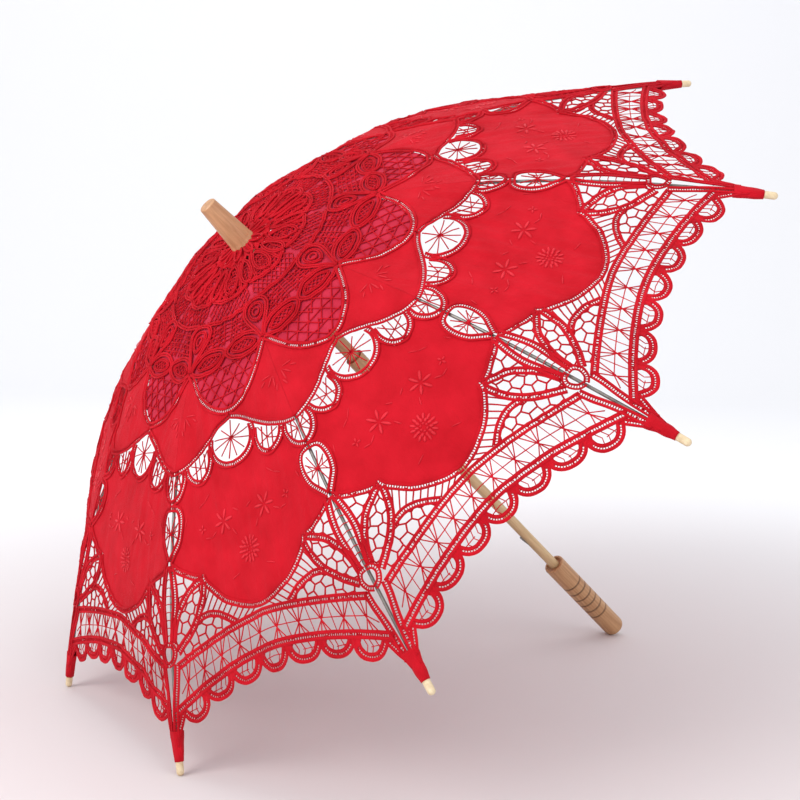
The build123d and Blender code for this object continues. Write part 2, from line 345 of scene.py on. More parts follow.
def brides(work, outline, cell=7.0, seed=0, radius=0.72):
    """Needle-made branching bars: an uneven net of six-sided meshes."""
    edge = np.array(outline, float)
    low, high = edge.min(0) - cell, edge.max(0) + cell
    rng = np.random.default_rng(seed)
    nodes = {}

    def open_mesh(i, j):
        return (i + 2 * j + (i // 2)) % 3 == 0

    def node(i, j):
        if (i, j) not in nodes:
            x = low[0] + i * cell * 0.75
            y = low[1] + (j + (i % 2) * 0.5) * cell * 0.87
            nodes[i, j] = np.array((x, y)) + rng.uniform(-0.2, 0.2, 2) * cell
        return nodes[i, j]

    for i in range(int((high[0] - low[0]) / (cell * 0.75)) + 1):
        for j in range(int((high[1] - low[1]) / (cell * 0.87)) + 1):
            if open_mesh(i, j):
                continue
            here = node(i, j)
            odd = i % 2
            for di, dj in ((0, 1), (1, odd), (1, odd - 1)):
                if not open_mesh(i + di, j + dj):
                    within(work, edge, here, node(i + di, j + dj), radius)


def net(work, outline, pitch, slants, radius=0.4, lift=0.9):
    """Straight threads at even spacing in each of several directions."""
    edge = np.array(outline, float)
    mid, size = (edge.min(0) + edge.max(0)) / 2, np.linalg.norm(edge.max(0) - edge.min(0))
    for angle in slants:
        d = np.array((math.cos(angle), math.sin(angle)))
        n = np.array((-d[1], d[0]))
        for i in range(-int(size / pitch / 2) - 1, int(size / pitch / 2) + 2):
            c = mid + n * i * pitch
            within(work, edge, c - d * size / 2, c + d * size / 2, radius, lift)


def spider(work, hub, ends, radius=0.5):
    """Spokes from a wound centre to the edge of a window."""
    for e in ends:
        thread(work, [hub, e], radius)


def knot(work, c, radius=1.3, lift=1.0, thick=0.9):
    m = 8
    points = [(c[0] + a * radius, c[1] + b * radius, lift) for a, b in circle(m)]
    points += [(c[0], c[1], lift + thick), (c[0], c[1], lift - thick)]
    faces = [(j, (j + 1) % m, m) for j in range(m)] + [((j + 1) % m, j, m + 1) for j in range(m)]
    work.add(points, faces)


def petal(work, a, b, wide=1.9, high=0.9, lift=0.95):
    """A raised satin-stitch petal from a to b."""
    a, b = np.array(a, float), np.array(b, float)
    d = b - a
    n = np.array((-d[1], d[0])) / max(np.linalg.norm(d), 1e-9)
    points, faces = [], []
    stations = ((0.0, 0.15), (0.2, 0.7), (0.55, 1.0), (0.85, 0.75), (1.0, 0.2))
    ring = ((-1, 0), (-0.55, 0.8), (0, 1), (0.55, 0.8), (1, 0))
    for t, w in stations:
        c = a + d * t
        for u, h in ring:
            points.append((*(c + n * u * w * wide / 2), lift + h * w * high))
    m = len(ring)
    for i in range(len(stations) - 1):
        for j in range(m - 1):
            faces.append((i * m + j, (i + 1) * m + j, (i + 1) * m + j + 1, i * m + j + 1))
        faces.append((i * m, i * m + m - 1, (i + 1) * m + m - 1, (i + 1) * m))
    faces.append(tuple(range(m)))
    faces.append(tuple(reversed([(len(stations) - 1) * m + j for j in range(m)])))
    work.add(points, faces)


# ---- the lace pattern of a half gore, all as (s, y) ----
def beside_rib(pairs):
    """Points given by how far they lie from the rib."""
    return [(s, float(width(s)) - d) for s, d in pairs]


def border(s0, rise, reach, power):
    return lambda y: s0 + rise * (abs(y) / reach) ** power


inner_border = border(331.5, 18.5, 103.0, 1.5)
outer_border = border(357.5, 25.5, 113.0, 1.7)

SCALLOP = [(119.5, 40.3), (127, 37.5), (137, 34), (148, 29), (157, 22), (163.5, 14), (167, 7), (168, 0)]
PANEL_EDGE = [(172.8, 0), (177.5, 11), (187, 26), (193.5, 38), (198, 51), (199.3, 58), (199.5, 64.3)]
WINDOW_MID = [(187, 20.8), (193, 21.8), (200, 20.3), (207.5, 15.5), (212.5, 8), (214, 0)]
WINDOW_SIDE = [(193, 23.5), (203, 23.2), (211.5, 27), (217, 35.5), (214, 44), (207.5, 49.2), (201, 51)]
WINDOW_RIB = [(201.5, 53), (209.5, 54), (217, 58.5), (221.5, 64.5), (223, float(width(223)))]
OVAL = beside_rib([(226.5, 0), (229, 7), (235, 11.2), (245, 12.8), (255, 11), (262, 6), (268, 0.8)])
WING = [(270, float(width(270)) - 1), (277.5, 75.5), (283, 67), (287.5, 59), (290, 52)]
LOBE = [(288.5, 51.5), (294, 49.5), (300, 45), (311, 35), (319, 21.5), (323.5, 10), (325, 0)]
FAN_RIB = beside_rib([(270.5, 2.5), (285, 6), (300, 7.5), (315, 6), (329, 4.5)])
FAN_OUTER = [(290, 53), (293.5, 62), (298, 72), (306.5, 81), (317, 88.5), (330, 94.5)]
FAN_INNER = [(293.5, 51), (305, 55.5), (316, 62.5), (327.5, 75), (338, 91.5)]
FAN_RING = beside_rib([(329.5, 0), (331.5, 5), (337, 7.5), (343, 5), (345, 0)])
DEE = [(319.5, 64), (318.2, 53), (320.8, 43), (325.5, 35), (331.5, 27.5)]
VEE = beside_rib([(346, 8.5), (356, 7.6), (367, 5.6), (378, 4.2), (388, 3.5), (400, 3.0)])


# the loops of narrow tape on the outer border, as middle and half width; a whole gore has seven
SCALLOPS = ((0.0, 14.2), (30.0, 14.2), (60.0, 14.2), (89.0, 13.2))


def scallop_line(centre_y, reach):
    points = []
    for u in np.linspace(-1, 1, 11):
        y = centre_y + u * reach
        out = 2.0 + (13.2 + 1.3 * math.cos(centre_y)) * (1 - abs(u) ** 2.6) ** 0.7
        slope = (outer_border(y + 0.5) - outer_border(y - 0.5)) if y > 1 else 0.0
        size = math.hypot(1, slope)
        points.append((outer_border(y) + out / size, y - out * slope / size))
    return [(s, y) for s, y in points if y > -0.2 or centre_y > 0]


def tapes(work):
    """All the lengths of woven tape."""
    tape(work, SCALLOP, 5.8)
    tape(work, PANEL_EDGE, 5.6)
    for line in (WINDOW_MID, WINDOW_SIDE, WINDOW_RIB, OVAL):
        tape(work, line, 5.6)
    tape(work, WING, 5.6, 1.3)
    tape(work, LOBE, 5.6)
    tape(work, FAN_RIB, 6.2, 1.5)
    tape(work, FAN_OUTER, 6.2, 1.3)
    tape(work, FAN_INNER, 6.4, 1.6)
    tape(work, FAN_RING, 4.6, 2.4)
    tape(work, DEE, 5.8, 1.3)
    across = np.linspace(0, 95, 40)
    tape(work, [(inner_border(y), y) for y in across], 6.2)
    across = np.linspace(0, 109, 44)
    tape(work, [(outer_border(y), y) for y in across], 7.0)
    tape(work, VEE, 5.8, 1.7)
    for centre_y, reach in SCALLOPS:
        tape(work, scallop_line(centre_y, reach), 6.6, 1.0, gap=1.0)
    last_run = [(381.5, 101.0), (387, 104.8), (393, 109.0), (399, 113.6), (405, 117.0)]
    tape(work, last_run, 5.2, 1.1, gap=0.9)


def medallion(work):
    """The looping tape and net over the lining, round the ferrule."""
    leaf = [(119, 39), (110, 31), (106.8, 19), (109.5, 7), (116, 0.8), (123, 6), (127, 17), (126, 29)]
    inner = [(118, 32), (113.5, 27), (111.5, 19), (113, 10), (116.5, 6), (120, 10), (122, 18), (121.5, 27)]
    plain = {"gap": 0.5}
    tape(work, leaf, 3.7, 1.5, True, **plain)
    tape(work, inner, 2.4, 1.3, True, **plain)
    rose = [(77.5, 0), (80, 6.5), (85, 10.5), (91, 11.8), (98, 10), (106, 6), (112, 3), (118, 0.8)]
    tape(work, beside_rib(rose), 3.7, 1.9, **plain)
    tape(work, beside_rib([(82.5, 0), (85, 4.8), (91, 7), (97.5, 4.8), (101, 0)]), 2.6, 1.6, **plain)
    eye = beside_rib([(87, 0), (88.5, 2.4), (91, 3.4), (93.5, 2.4), (95, 0)])
    ribbon(work, curve(eye, 1.5), 1.8, 1.3, 1.5)
    tape(work, [(81.5, 0), (81, 8), (79.8, 15), (78, 22)], 3.9, 1.7, **plain)
    tape(work, [(62.5, 0), (61, 8), (57.5, 15), (55, 19.2)], 3.6, 1.6, **plain)
    petal_mid = [(24, 0.4), (31, 4.2), (42, 6.6), (52, 5.2), (58, 0.4)]
    tape(work, petal_mid, 2.8, 2.0, **plain)
    side = beside_rib([(22, 0), (30, 3.4), (41, 5.4), (50, 4.4), (55, 0)])
    tape(work, side, 2.8, 2.3, **plain)
    tape(work, [(20, 3), (34, 7.5), (47, 10.5), (58, 12.5)], 2.8, 1.4, **plain)
    net(work, inner, 3.4, (0.9, -0.7), 0.5, 1.1)
    for s in (86.5, 90.5, 94.5, 98.5, 102.5):
        reach = float(width(s)) - 11.5 + abs(s - 91) * 0.15
        thread(work, [(s, 0), (s + 0.8, reach)], 0.55, 1.1)
    for y in (3.5, 10.5, 17.0):
        thread(work, [(83, y * 0.9), (107, y)], 0.45, 1.2)
    ring = [(64, 0), (63, 8), (60, 15), (57, 18.5), (76, 24.7), (78.5, 12), (79, 0)]
    net(work, ring, 4.4, (0.5, -0.5), 0.5, 1.1)
    inner_ring = [(22, 0), (22, 9.2), (55, 20), (60, 12), (62, 0)]
    net(work, inner_ring, 4.0, (0.42, -0.42, 1.57), 0.5, 1.2)
    gap = beside_rib([(80, 7), (84, 12), (91, 14), (98, 12.5), (108, 8.5), (113, 5.5)])
    net(work, gap + [(106, 20), (106, 5), (84, 5)], 5.2, (0.7, -0.7), 0.4, 1.0)
    window = [(119, 37), (127, 34.5), (137, 31), (147, 26.5), (155, 20), (161, 12.5)]
    window += [(164, 6), (165, 0), (117, 0), (125, 12), (127, 25)]
    net(work, window, 9.0, (0.62, -0.62), 0.55, 0.9)
    net(work, window, 12.5, (1.57,), 0.5, 0.9)


def windows(work):
    """Threads in the fan windows, the oval and their wound centres."""
    hub = (192, 0)
    fan = [(177, 0), (183, 9), (189, 17), (197, 17.5), (204, 11.5), (208.5, 4)]
    spider(work, hub, fan)
    knot(work, hub, 1.9)
    side_hub = (205, 35.5)
    spider(work, side_hub, [(193.5, 27), (195.5, 36), (200, 46), (208, 45), (214, 36), (208, 26.5)])
    thread(work, [(194.5, 31), (212, 30)])
    thread(work, [(198, 41), (213, 40.5)])
    rib_hub = (209, float(width(209)) - 1)
    spider(work, rib_hub, [(202, 57), (202.5, 63), (210, 56.8), (216.5, 61.5), (219.5, 68)])
    thread(work, [(202, 60), (215, 59.5)])
    edge = beside_rib([(231, 0.4), (234, 5), (240, 8.6), (246, 9.6), (252, 8.4), (259, 4.8), (263, 1)])
    oval_hub = (246, float(width(246)) - 0.4)
    spider(work, oval_hub, [edge[i] for i in (1, 2, 3, 4, 5)])
    knot(work, oval_hub, 1.7)
    thread(work, beside_rib([(240, 8), (246, 4.6), (252, 8)]), 0.38)


def needle_work(work):
    """Branching bars in the open ground between panel and border."""
    rib_gap = beside_rib([(272, 5), (285, 9), (300, 10), (315, 8.5), (328, 7)])
    fan = [(278, 73), (288, 60), (293, 56), (296.5, 64), (300, 72), (307, 80), (317, 87), (327, 92)]
    brides(work, rib_gap[:1] + fan + rib_gap[:0:-1], 7.2, 3)
    leaf = list(map(tuple, curve(FAN_OUTER, 4))) + list(map(tuple, curve(FAN_INNER, 4)[::-1]))
    brides(work, leaf, 6.6, 5)
    rail = curve(beside_rib([(274, 0.2), (285, 4), (300, 5.5), (315, 4), (328, 1)]), 6.5)
    for s, y in rail[1:-1]:
        thread(work, [(s, float(width(s)) + 0.2), (s + 2.2, y)], 0.4, 1.2)
    dee = [tuple(p) for p in curve(DEE, 4)]
    floor = [(inner_border(y), y) for y in np.linspace(29, 86, 12)]
    dee = dee + floor + [(337, 88), (329, 77), (322, 67)]
    brides(work, dee, 6.6, 8)
    arc = [(303, 52.5), (311, 57), (316.5, 55), (318.2, 47), (322, 40)]
    arc += [(327, 33), (330.5, 25), (331, 18), (331, 10)]
    spacing = 5.4
    for ends in list(zip(curve(LOBE, spacing), curve(arc, spacing)))[1:-1]:
        thread(work, ends)


def border_stitches(work):
    """Crossed threads between the two border tapes, with one thread along their middle."""
    middle = []
    for i in range(5):
        y = 10 + 20 * i
        s_in, s_out = inner_border(y), outer_border(y * 1.02)
        mid = (s_in + s_out) / 2
        middle.append((mid, y))
        for lean in (-9.0, -3.4, 3.4, 9.0):
            if i == 4 and lean == 9.0:
                continue
            first, last = (inner_border(y + lean), y + lean), (outer_border(y - lean), y - lean * 0.95)
            thread(work, [first, (mid, y + lean * 0.12), last], 0.5)
        knot(work, (mid, y), 0.9, 0.95, 0.6)
        if i:
            edge = y - 10
            thread(work, [(inner_border(edge) + 2, edge - 1.5), (outer_border(edge) - 2, edge + 1.5)], 0.36)
    line = [(344.6, 0)] + middle + [(368.5, 99)]
    thread(work, line, 0.45, 0.85)


def edging(work):
    """Dense work between the loops of the edge, and threads in their openings."""
    for (c0, r0), (c1, r1) in zip(SCALLOPS, SCALLOPS[1:]):
        y = (c0 + r0 + c1 - r1) / 2
        base = outer_border(y)
        wedge = [(1, -7), (1.5, 7), (7, 3.4), (11, 0), (6.5, -3.6)]
        cloth(work, [(base + ds, y + dy) for ds, dy in wedge], 4.0, 1.2, 1.0)
    for a, b in (((386, 104), (384, 110.5)), ((390, 107.5), (388, 111.5)), ((383.5, 103), (380, 109))):
        thread(work, [a, b], 0.6)
    for c, r in SCALLOPS:
        for u in (-0.45, -0.1, 0.3):
            y = c + u * r
            if y < 0:
                continue
            top, low = outer_border(y) + 2.5, outer_border(y) + 14.5
            thread(work, [(top, y - 1.5), ((top + low) / 2, y + 0.8), (low, y - 1.8)], 0.4)
        y = c + 0.2 * r
        thread(work, [(outer_border(y) + 7.5, max(0, y - 5)), (outer_border(y) + 8.5, y + 5.5)], 0.4)


def flower(work, c, reach, petals, turn, wide=2.0):
    for i in range(petals):
        a = turn + 2 * math.pi * i / petals
        d = np.array((math.cos(a), math.sin(a)))
        petal(work, np.array(c) + d * reach * 0.16, np.array(c) + d * reach, wide)


def embroidery(work):
    """Raised star flowers, small sprigs, and half of the round flower on a gore's middle."""
    flower(work, (254, 21), 10.0, 6, 0.45, 2.7)
    flower(work, (253.5, 43.5), 3.8, 4, 0.3, 1.7)
    sprig = [((259, 30), (262.5, 36)), ((262.5, 36), (261, 42))]
    sprig += [((247, 9), (250.5, 4)), ((262, 13), (268, 10))]
    for a, b in sprig:
        petal(work, a, b, 1.2, 0.7)
    rose = np.array((282.5, 0))
    for ring, count in ((11.0, 7), (7.2, 5), (3.6, 3)):
        for i in range(count):
            a = -math.pi / 2 + math.pi * (i + 0.5) / count
            d = np.array((math.sin(a), math.cos(a)))
            tip = rose + d * ring
            if tip[1] > 0.6:
                petal(work, rose + d * ring * 0.55, tip, 2.3, 0.8)
    spray = [((158, 47), (166, 43)), ((158, 48), (168, 49.5)), ((156, 46), (158, 37))]
    spray += [((166, 52), (172, 51)), ((160, 40), (164, 36))]
    for a, b in spray:
        petal(work, a, b, 1.3, 0.8)
    stems = [((228, 30), (233, 36)), ((233, 36), (236, 43)), ((240, 57), (246, 60)), ((297, 14), (300, 22))]
    for a, b in stems:
        petal(work, a, b, 1.0, 0.6)


def panels(work):
    """The solid cloth: the panel over the rib, and the big tulip panel."""
    scallop = curve([(s + 1.5, y + 0.8) for s, y in SCALLOP[:-1]] + [(169.5, 0)], 2.4)
    edge = curve([(s - 1.2, y) for s, y in PANEL_EDGE], 2.4)
    rib = [(s, float(width(s))) for s in np.linspace(196, 122, 24)]
    total = cloth(work, [tuple(p) for p in scallop[1:]] + [tuple(p) for p in edge] + rib)
    low = [curve([(s + 2.2, y) for s, y in reversed(WINDOW_MID)], 2.2)[:-2]]
    low.append(curve([(min(s, 212) + 3.2, y) for s, y in WINDOW_SIDE[1:-1]], 2.2)[1:-1] + (0.6, 0))
    low.append(np.array([(208.0, 51.4), (205.0, 52.0), (209.5, 53.0)]))
    low.append(curve([(s + 2.2, y - 0.5) for s, y in WINDOW_RIB[2:]], 2.2))
    side = curve([(s, y - 1.5) for s, y in OVAL[1:]], 2.4)
    wing = curve([(s - 1.2, y) for s, y in WING[:-1]], 2.4)
    top = np.vstack([wing, curve([(s - 1.2, max(0, y - 0.8)) for s, y in LOBE], 2.4)])
    seam = np.array([(s, 0.0) for s in np.arange(top[-1][0] - 2.4, low[0][0][0] + 1.2, -2.4)])
    outline = np.vstack(low + [side, top[1:], seam])
    keep = [outline[0]]
    for p in outline[1:]:
        if np.linalg.norm(p - keep[-1]) > 0.6:
            keep.append(p)
    return total + cloth(work, [tuple(p) for p in keep])


def lining_shape():
    edge = curve([(s - 2.2, max(0, y - 1.6)) for s, y in SCALLOP], 2.6)
    rib = [(s, float(width(s))) for s in np.linspace(20, 117, 34)]
    return rib + [tuple(p) for p in edge] + [(s, 0.0) for s in np.linspace(163, 20, 46)]


# ---- finishes ----
def finish_of(name, rough):
    m = bpy.data.materials.new(name)
    m.use_nodes = True
    shader = m.node_tree.nodes["Principled BSDF"]
    shader.inputs["Roughness"].default_value = rough
    return m, m.node_tree.nodes, m.node_tree.links, shader


def two_colours(nodes, links, shader, source, dark, light, low=0.35, high=0.65):
    ramp = nodes.new("ShaderNodeValToRGB")
    ramp.color_ramp.elements[0].position, ramp.color_ramp.elements[1].position = low, high
    ramp.color_ramp.elements[0].color, ramp.color_ramp.elements[1].color = (*dark, 1), (*light, 1)
    links.new(source, ramp.inputs["Fac"])
    links.new(ramp.outputs["Color"], shader.inputs["Base Color"])
    return ramp


def bump(nodes, links, shader, source, strength, distance):
    b = nodes.new("ShaderNodeBump")
    b.inputs["Strength"].default_value = strength
    b.inputs["Distance"].default_value = distance
    links.new(source, b.inputs["Height"])
    links.new(b.outputs["Normal"], shader.inputs["Normal"])


def speckle(nodes, links, vector, scale, detail):
    """A cloudy noise on a surface, as its node."""
    n = nodes.new("ShaderNodeTexNoise")
    n.inputs["Scale"].default_value = scale
    n.inputs["Detail"].default_value = detail
    links.new(vector, n.inputs["Vector"])
    return n


def times_plus(nodes, links, source, factor, base):
    """A source times a factor, plus another source."""
    n = nodes.new("ShaderNodeMath")
    n.operation = "MULTIPLY_ADD"
    n.inputs[1].default_value = factor
    links.new(source, n.inputs[0])
    links.new(base, n.inputs[2])
    return n.outputs["Value"]


def textile(name, dark, light, thread_mm, rough=0.75, gloss=0.12, strength=0.35, pulled=1.0):
    """Woven cloth: crossing threads on the piece's own pattern coordinates, and soft mottling."""
    m, nodes, links, shader = finish_of(name, rough)
    uv = nodes.new("ShaderNodeUVMap")
    uv.uv_map = "pattern"
    place = nodes.new("ShaderNodeTexCoord")
    mottle = speckle(nodes, links, place.outputs["Object"], 42.0, 5.0)
    two_colours(nodes, links, shader, mottle.outputs["Fac"], dark, light, 0.3, 0.7)
    waves = []
    for direction in ("X", "Y"):
        w = nodes.new("ShaderNodeTexWave")
        w.bands_direction = direction
        w.inputs["Scale"].default_value = 2 * math.pi / (20 * thread_mm * 0.01)
        w.inputs["Distortion"].default_value = 0.6
        w.inputs["Detail"].default_value = 1.0
        links.new(uv.outputs["UV"], w.inputs["Vector"])
        waves.append(w.outputs["Fac"])
    both = nodes.new("ShaderNodeMath")
    both.operation = "ADD"
    links.new(waves[0], both.inputs[0])
    links.new(waves[1], both.inputs[1])
    crease = speckle(nodes, links, place.outputs["Object"], 190.0, 3.0)
    woven = times_plus(nodes, links, crease.outputs["Fac"], 1.6, both.outputs["Value"])
    drawn = nodes.new("ShaderNodeMapping")
    drawn.inputs["Scale"].default_value = (2.2, 11.0, 1)
    links.new(uv.outputs["UV"], drawn.inputs["Vector"])
    pull = speckle(nodes, links, drawn.outputs["Vector"], 1.6, 2.5)
    pull.inputs["Distortion"].default_value = 0.8
    height = times_plus(nodes, links, pull.outputs["Fac"], pulled, woven)
    bump(nodes, links, shader, height, strength, 0.0004)
    shader.inputs["Specular IOR Level"].default_value = gloss
    shader.inputs["Sheen Weight"].default_value = 0.10
    shader.inputs["Sheen Roughness"].default_value = 0.4
    shader.inputs["Sheen Tint"].default_value = (1.0, 0.3, 0.38, 1)
    return m


def wood(name, dark, light, rough):
    """Turned wood with its grain along the shaft."""
    m, nodes, links, shader = finish_of(name, rough)
    place = nodes.new("ShaderNodeTexCoord")
    turn = nodes.new("ShaderNodeMapping")
    turn.inputs["Rotation"].default_value = (0, -math.atan2(UP[0], UP[2]), 0)
    stretch = nodes.new("ShaderNodeMapping")
    stretch.inputs["Scale"].default_value = (1, 1, 0.06)
    links.new(place.outputs["Object"], turn.inputs["Vector"])
    links.new(turn.outputs["Vector"], stretch.inputs["Vector"])
    fibres = speckle(nodes, links, stretch.outputs["Vector"], 360.0, 6.0)
    fibres.inputs["Roughness"].default_value = 0.6
    two_colours(nodes, links, shader, fibres.outputs["Fac"], dark, light, 0.32, 0.68)
    bump(nodes, links, shader, fibres.outputs["Fac"], 0.12, 0.0003)
    shader.inputs["Coat Weight"].default_value = 0.12
    return m


def painted_groove_shade(m, first, last, count):
    """Paints shade into the wood inside evenly spaced turned grooves, given as heights on the shaft in mm.
    """
    nodes, links = m.node_tree.nodes, m.node_tree.links
    shader = nodes["Principled BSDF"]
    pitch = (last - first) / (count - 1) * MM

    def math_node(operation, source, number=None):
        n = nodes.new("ShaderNodeMath")
        n.operation = operation
        links.new(source, n.inputs[0])
        if isinstance(number, float):
            n.inputs[1].default_value = number
        elif number is not None:
            links.new(number, n.inputs[1])
        return n.outputs["Value"]

    place = nodes.new("ShaderNodeTexCoord")
    along = nodes.new("ShaderNodeVectorMath")
    along.operation = "DOT_PRODUCT"
    along.inputs[1].default_value = tuple(UP)
    links.new(place.outputs["Object"], along.inputs[0])
    start = float(RING @ UP) + first * MM
    turns = math_node("DIVIDE", math_node("SUBTRACT", along.outputs["Value"], start), pitch)
    nearest = math_node("ROUND", math_node("MINIMUM", math_node("MAXIMUM", turns, 0.0), count - 1.0))
    off = math_node("ABSOLUTE", math_node("SUBTRACT", turns, nearest))
    # painted shade: the wood's colour darkened to 0.42 at the bottom of each groove
    shade = nodes.new("ShaderNodeMapRange")
    shade.interpolation_type = "SMOOTHSTEP"
    shade.inputs["From Min"].default_value = 0.03
    shade.inputs["From Max"].default_value = 0.17
    shade.inputs["To Min"].default_value = 0.42
    shade.inputs["To Max"].default_value = 1.0
    links.new(off, shade.inputs["Value"])
    mix = nodes.new("ShaderNodeVectorMath")
    mix.operation = "SCALE"
    base = shader.inputs["Base Color"].links[0].from_socket
    links.new(base, mix.inputs[0])
    links.new(shade.outputs["Result"], mix.inputs["Scale"])
    links.new(mix.outputs["Vector"], shader.inputs["Base Color"])


def steel(name, colour, rough):
    """Drawn wire: grey metal with fine scratches and dull patches."""
    m, nodes, links, shader = finish_of(name, rough)
    shader.inputs["Metallic"].default_value = 1.0
    place = nodes.new("ShaderNodeTexCoord")
    fine = speckle(nodes, links, place.outputs["Object"], 260.0, 4.0)
    two_colours(nodes, links, shader, fine.outputs["Fac"], tuple(c * 0.72 for c in colour), colour)
    dull = nodes.new("ShaderNodeMapRange")
    dull.inputs["To Min"].default_value = rough * 0.8
    dull.inputs["To Max"].default_value = rough * 1.5
    links.new(fine.outputs["Fac"], dull.inputs["Value"])
    links.new(dull.outputs["Result"], shader.inputs["Roughness"])
    bump(nodes, links, shader, fine.outputs["Fac"], 0.1, 0.0002)
    return m


scarlet = textile("scarlet_cloth", (0.50, 0.005, 0.013), (0.62, 0.008, 0.020), 0.5, 0.8, 0.10, 0.5, 9.0)
tape_red = textile("scarlet_tape", (0.44, 0.004, 0.011), (0.64, 0.008, 0.020), 0.9, 0.82, 0.10, 0.6)
stitch_red = textile("scarlet_silk", (0.56, 0.007, 0.017), (0.74, 0.014, 0.032), 0.35, 0.5, 0.3, 0.3)
magenta = textile("lining_net", (0.42, 0.012, 0.035), (0.60, 0.026, 0.062), 0.4, 0.7, 0.15)
handle_wood = wood("handle_wood", (0.36, 0.17, 0.07), (0.58, 0.33, 0.16), 0.48)
# painted shade in the handle's turned grooves
painted_groove_shade(handle_wood, first=-321.13, last=-371.11, count=6)
ferrule_wood = wood("ferrule_wood", (0.40, 0.19, 0.08), (0.58, 0.31, 0.15), 0.46)
shaft_wood = wood("shaft_wood", (0.50, 0.33, 0.16), (0.68, 0.49, 0.27), 0.5)
tip_wood = wood("tip_wood", (0.60, 0.45, 0.26), (0.78, 0.64, 0.42), 0.55)
rib_steel = steel("rib_steel", (0.26, 0.25, 0.23), 0.42)
hub_wood = wood("hub_wood", (0.46, 0.27, 0.12), (0.64, 0.42, 0.21), 0.5)


def finish_node(node, material):
    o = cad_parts[node]
    o.data.materials.clear()
    o.data.materials.append(material)


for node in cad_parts:
    if node.startswith(("rib_", "stretcher_")):
        finish_node(node, rib_steel)
    elif node.startswith("tip_"):
        finish_node(node, tip_wood)
for node, material in (
    ("shaft", shaft_wood),
    ("handle", handle_wood),
    ("ferrule", ferrule_wood),
    ("crown", hub_wood),
    ("runner", hub_wood),
    ("crown_wire", rib_steel),
    ("runner_wire", rib_steel),
    ("spring_catches", rib_steel),
    ("stop_pin", rib_steel),
):
    finish_node(node, material)


# ---- make the pieces ----
def build(name, works, place, flip):
    """One object from several flat works, each with its own finish."""
    points, faces, pattern, kinds = [], [], [], []
    for i, (work, _) in enumerate(works):
        start = len(points)
        points += work.points
        pattern += work.pattern
        faces += [tuple(j + start for j in f) for f in work.faces]
        kinds += [i] * len(work.faces)
    if flip:
        faces = [tuple(reversed(f)) for f in faces]
    mesh = bpy.data.meshes.new(name)
    mesh.from_pydata(place(np.array(points)).tolist(), [], faces)
    layer = mesh.uv_layers.new(name="pattern")
    loops = np.empty(len(mesh.loops), int)
    mesh.loops.foreach_get("vertex_index", loops)
    layer.data.foreach_set("uv", (np.array(pattern)[loops] * 0.01).ravel())
    for _, material in works:
        mesh.materials.append(material)
    mesh.polygons.foreach_set("material_index", kinds)
    mesh.polygons.foreach_set("use_smooth", [True] * len(mesh.polygons))
    mesh.update()
    o = bpy.data.objects.new(name, mesh)
    bpy.context.scene.collection.objects.link(o)
    return o


ground, trims, silk, lining = Work(), Work(), Work(), Work()
cloth_area = panels(ground)
tapes(trims)
medallion(trims)
windows(trims)
needle_work(trims)
border_stitches(trims)
edging(trims)
embroidery(silk)
lining_area = cloth(lining, lining_shape(), 3.4, 0.3, 0.0)

for rib in range(RIBS):
    for side in ("a", "b"):
        label = f"{rib + 1:02d}_{side}"
        place = partial(on_gore, rib=rib, side=side)
        flip = side == "b"
        sheet = build(f"cloth_{label}", [(ground, scarlet)], place, flip)
        work = build(f"lace_{label}", [(trims, tape_red), (silk, stitch_red)], place, flip)
        back = build(f"lining_{label}", [(lining, magenta)], place, flip)
        for o in (sheet, back):
            o.data.set_sharp_from_angle(angle=math.radians(60))
        for o in (sheet, work, back):
            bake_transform(o)
            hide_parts(f"canopy_{label}")


# ---- gathered lace round the ferrule ----
def round_the_shaft(points):
    """Flat (radius, angle in degrees, height) points round the shaft."""
    r, a = points[:, 0], np.radians(points[:, 1])
    return at(r * np.cos(a), r * np.sin(a), points[:, 2])


RUFFLE_INNER = 8.0  # its radius at the ferrule
RUFFLE_REACH = 21.5  # from there to its outer edge
RUFFLE_BASE = BOW[0][1] + 3.2  # its height
RUFFLE_THICK = 0.9


def rosette():
    """A gathered ruffle: deep pleats at its outer edge, drawn tight at the ferrule."""
    work = Work()
    rings, steps = 14, 360

    def row(lift):
        out = []
        for i in range(rings):
            t = i / (rings - 1)
            r = RUFFLE_INNER + RUFFLE_REACH * t
            for j in range(steps):
                a = 2 * math.pi * j / steps
                pleat = math.sin(a * 26 + 1.3 * math.sin(a * 3)) + 0.5 * math.sin(a * 47 + 2)
                crush = noise.noise(Vector((r * 0.16, math.cos(a) * 2.2, math.sin(a) * 2.2)))
                swell = 2.6 * math.exp(-((t - 0.12) / 0.2) ** 2)
                z = RUFFLE_BASE + lift + swell + (0.35 + t) * pleat * 0.8 + 1.6 * crush * t
                out.append((r + 0.6 * crush, 360 * j / steps, max(z, RUFFLE_BASE - 1.6 + lift)))
        return out

    top, under = row(RUFFLE_THICK), row(0.0)
    n = rings * steps
    quads = []
    for i in range(rings - 1):
        for j in range(steps):
            k = (j + 1) % steps
            quads.append((i * steps + j, (i + 1) * steps + j, (i + 1) * steps + k, i * steps + k))
    down = [tuple(reversed([v + n for v in q])) for q in quads]
    last = (rings - 1) * steps
    inner, outer = [], []
    for j in range(steps):
        k = (j + 1) % steps
        inner.append((j, k, k + n, j + n))
        outer.append((last + k, last + j, last + j + n, last + k + n))
    pattern = [(p[0], p[1] * 0.35) for p in top + under]
    work.add(top + under, quads + down + inner + outer, pattern)
    return work


ruffle = build("ferrule_ruffle", [(rosette(), scarlet)], round_the_shaft, False)
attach(ruffle, "frame")
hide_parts("rosette")


